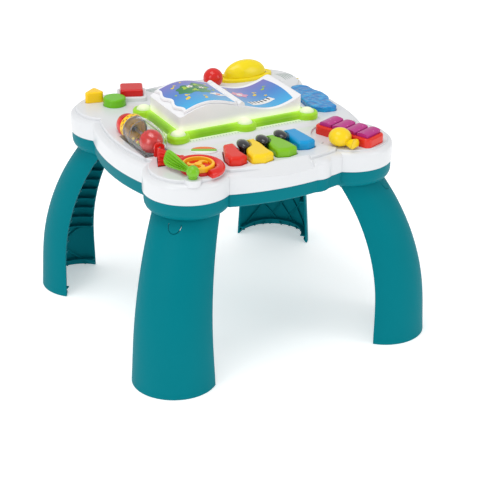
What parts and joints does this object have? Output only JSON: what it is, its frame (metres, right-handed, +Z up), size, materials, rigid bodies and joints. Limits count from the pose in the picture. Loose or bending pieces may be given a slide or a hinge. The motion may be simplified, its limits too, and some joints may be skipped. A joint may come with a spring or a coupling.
{
  "type": "toddler activity table",
  "caption": "Low play table with four removable curved legs and a tray of piano keys, roller, turning page, buttons, levers and spinners.",
  "frame": {"origin": "on the floor under the middle of the tray", "axes": "+Z up, -Y towards the player at the piano keys, +X to that player's right"},
  "size_m": [0.443, 0.443, 0.3335],
  "materials": {
    "white_plastic": "satin moulded ABS",
    "teal_plastic": "satin moulded ABS",
    "green_plastic": "glossy",
    "red_plastic": "glossy",
    "yellow_plastic": "glossy",
    "blue_plastic": "glossy, slightly translucent",
    "purple_plastic": "glossy",
    "black_plastic": "glossy",
    "clear_plastic": "clear polycarbonate",
    "frosted_plastic": "frosted diffuser",
    "page_print": "printed film on plastic",
    "rubber": "silicone contacts",
    "steel": "zinc plated",
    "circuit_board": "solder mask",
    "battery_sleeve": "plain sleeve",
    "paper_cone": "paper cone"
  },
  "bodies": {
    "table": {"back_leg": "teal_plastic", "battery_cells": "battery_sleeve", "battery_contacts": "steel", "battery_door": "teal_plastic", "book_housing": "page_print", "button_board": "circuit_board", "button_contacts": "rubber", "door_screw": "steel", "drum_brim": "yellow_plastic", "front_leg": "teal_plastic", "horn": "red_plastic", "housing_screws": "steel", "key_board": "circuit_board", "key_contacts": "rubber", "key_rod": "steel", "left_leg": "teal_plastic", "light_domes": "frosted_plastic", "light_ring": "green_plastic", "lower_housing": "teal_plastic", "main_board": "circuit_board", "pad_contact_strip": "rubber", "pad_frame": "red_plastic", "page_pin": "steel", "right_leg": "teal_plastic", "roller_far_cap": "red_plastic", "roller_near_cap": "red_plastic", "side_boards": "circuit_board", "speaker_basket": "steel", "speaker_cone": "paper_cone", "speaker_magnet": "steel", "upper_housing": "white_plastic"},
    "page": {"turning_page": "page_print"},
    "roller": {"roller_drum": "clear_plastic", "roller_band": "yellow_plastic", "roller_inner_ball": "red_plastic", "roller_axle": "steel"},
    "red_key": {"red_key": "red_plastic"},
    "yellow_key": {"yellow_key": "yellow_plastic"},
    "green_key": {"green_key": "green_plastic"},
    "blue_key": {"blue_key": "blue_plastic"},
    "left_black_key": {"left_black_key": "black_plastic"},
    "middle_black_key": {"middle_black_key": "black_plastic"},
    "right_black_key": {"right_black_key": "black_plastic"},
    "triangle_button": {"triangle_button": "yellow_plastic"},
    "round_button": {"round_button": "green_plastic"},
    "square_button": {"square_button": "red_plastic"},
    "pad_1": {"pad_1": "purple_plastic"},
    "pad_2": {"pad_2": "purple_plastic"},
    "pad_3": {"pad_3": "purple_plastic"},
    "pad_4": {"pad_4": "purple_plastic"},
    "striker_knob": {"striker_knob": "yellow_plastic"},
    "disc": {"disc_rim": "yellow_plastic", "disc_swirl": "yellow_plastic"},
    "lever": {"lever": "green_plastic"},
    "drum_dome": {"drum_dome": "yellow_plastic"},
    "ball_knob": {"ball_knob": "red_plastic"},
    "wave_panel": {"wave_panel": "blue_plastic"},
    "power_switch": {"power_switch": "black_plastic"}
  },
  "joints": [
    {"name": "page_turn", "type": "hinge", "parent": "table", "child": "page", "pos_m": [0, 0.008, 0.321], "axis": [0, 1, 0], "range_deg": [0, 179]},
    {"name": "roller_spin", "type": "hinge", "parent": "table", "child": "roller", "pos_m": [-0.141, -0.034, 0.297], "axis": [0, 1, 0], "continuous": true},
    {"name": "red_key_press", "type": "hinge", "parent": "table", "child": "red_key", "pos_m": [-0.0525, -0.084, 0.2798], "axis": [1, 0, 0], "range_deg": [0, 2.5], "stiffness_Nm_per_rad": 1, "springref_deg": -3.44},
    {"name": "yellow_key_press", "type": "hinge", "parent": "table", "child": "yellow_key", "pos_m": [-0.019, -0.084, 0.2798], "axis": [1, 0, 0], "range_deg": [0, 2.5], "stiffness_Nm_per_rad": 1, "springref_deg": -3.44},
    {"name": "green_key_press", "type": "hinge", "parent": "table", "child": "green_key", "pos_m": [0.009, -0.084, 0.2798], "axis": [1, 0, 0], "range_deg": [0, 2.5], "stiffness_Nm_per_rad": 1, "springref_deg": -3.44},
    {"name": "blue_key_press", "type": "hinge", "parent": "table", "child": "blue_key", "pos_m": [0.0435, -0.084, 0.2798], "axis": [1, 0, 0], "range_deg": [0, 2.5], "stiffness_Nm_per_rad": 1, "springref_deg": -3.44},
    {"name": "left_black_key_press", "type": "hinge", "parent": "table", "child": "left_black_key", "pos_m": [-0.0355, -0.084, 0.2798], "axis": [1, 0, 0], "range_deg": [0, 2.5], "stiffness_Nm_per_rad": 1, "springref_deg": -3.44},
    {"name": "middle_black_key_press", "type": "hinge", "parent": "table", "child": "middle_black_key", "pos_m": [-0.005, -0.084, 0.2798], "axis": [1, 0, 0], "range_deg": [0, 2.5], "stiffness_Nm_per_rad": 1, "springref_deg": -3.44},
    {"name": "right_black_key_press", "type": "hinge", "parent": "table", "child": "right_black_key", "pos_m": [0.025, -0.084, 0.2798], "axis": [1, 0, 0], "range_deg": [0, 2.5], "stiffness_Nm_per_rad": 1, "springref_deg": -3.44},
    {"name": "triangle_button_press", "type": "slide", "parent": "table", "child": "triangle_button", "axis": [0, 0, -1], "range_m": [0, 0.003], "stiffness_N_per_m": 500, "springref_m": -0.002},
    {"name": "round_button_press", "type": "slide", "parent": "table", "child": "round_button", "axis": [0, 0, -1], "range_m": [0, 0.003], "stiffness_N_per_m": 500, "springref_m": -0.002},
    {"name": "square_button_press", "type": "slide", "parent": "table", "child": "square_button", "axis": [0, 0, -1], "range_m": [0, 0.003], "stiffness_N_per_m": 500, "springref_m": -0.002},
    {"name": "pad_1_press", "type": "slide", "parent": "table", "child": "pad_1", "axis": [0, 0, -1], "range_m": [0, 0.0015], "stiffness_N_per_m": 500, "springref_m": -0.002},
    {"name": "pad_2_press", "type": "slide", "parent": "table", "child": "pad_2", "axis": [0, 0, -1], "range_m": [0, 0.0015], "stiffness_N_per_m": 500, "springref_m": -0.002},
    {"name": "pad_3_press", "type": "slide", "parent": "table", "child": "pad_3", "axis": [0, 0, -1], "range_m": [0, 0.0015], "stiffness_N_per_m": 500, "springref_m": -0.002},
    {"name": "pad_4_press", "type": "slide", "parent": "table", "child": "pad_4", "axis": [0, 0, -1], "range_m": [0, 0.0015], "stiffness_N_per_m": 500, "springref_m": -0.002},
    {"name": "knob_turn", "type": "hinge", "parent": "table", "child": "striker_knob", "pos_m": [0.09311, -0.14646, 0.29], "axis": [0, 0, 1], "range_deg": [-60, 0]},
    {"name": "disc_spin", "type": "hinge", "parent": "table", "child": "disc", "pos_m": [-0.1165, -0.1426, 0.29], "axis": [0, 0, 1], "continuous": true},
    {"name": "lever_turn", "type": "hinge", "parent": "table", "child": "lever", "pos_m": [-0.137, -0.169, 0.296], "axis": [0, 0, 1], "range_deg": [0, 25]},
    {"name": "drum_press", "type": "slide", "parent": "table", "child": "drum_dome", "axis": [0, 0, -1], "range_m": [0, 0.0025], "stiffness_N_per_m": 600, "springref_m": -0.002},
    {"name": "ball_turn", "type": "hinge", "parent": "table", "child": "ball_knob", "pos_m": [0.04, 0.126, 0.3], "axis": [0, 0, 1], "continuous": true},
    {"name": "panel_press", "type": "slide", "parent": "table", "child": "wave_panel", "axis": [0, 0, -1], "range_m": [0, 0.002], "stiffness_N_per_m": 700, "springref_m": -0.002},
    {"name": "switch_slide", "type": "slide", "parent": "table", "child": "power_switch", "axis": [1, 0, 0], "range_m": [-0.005, 0.005]}
  ]
}
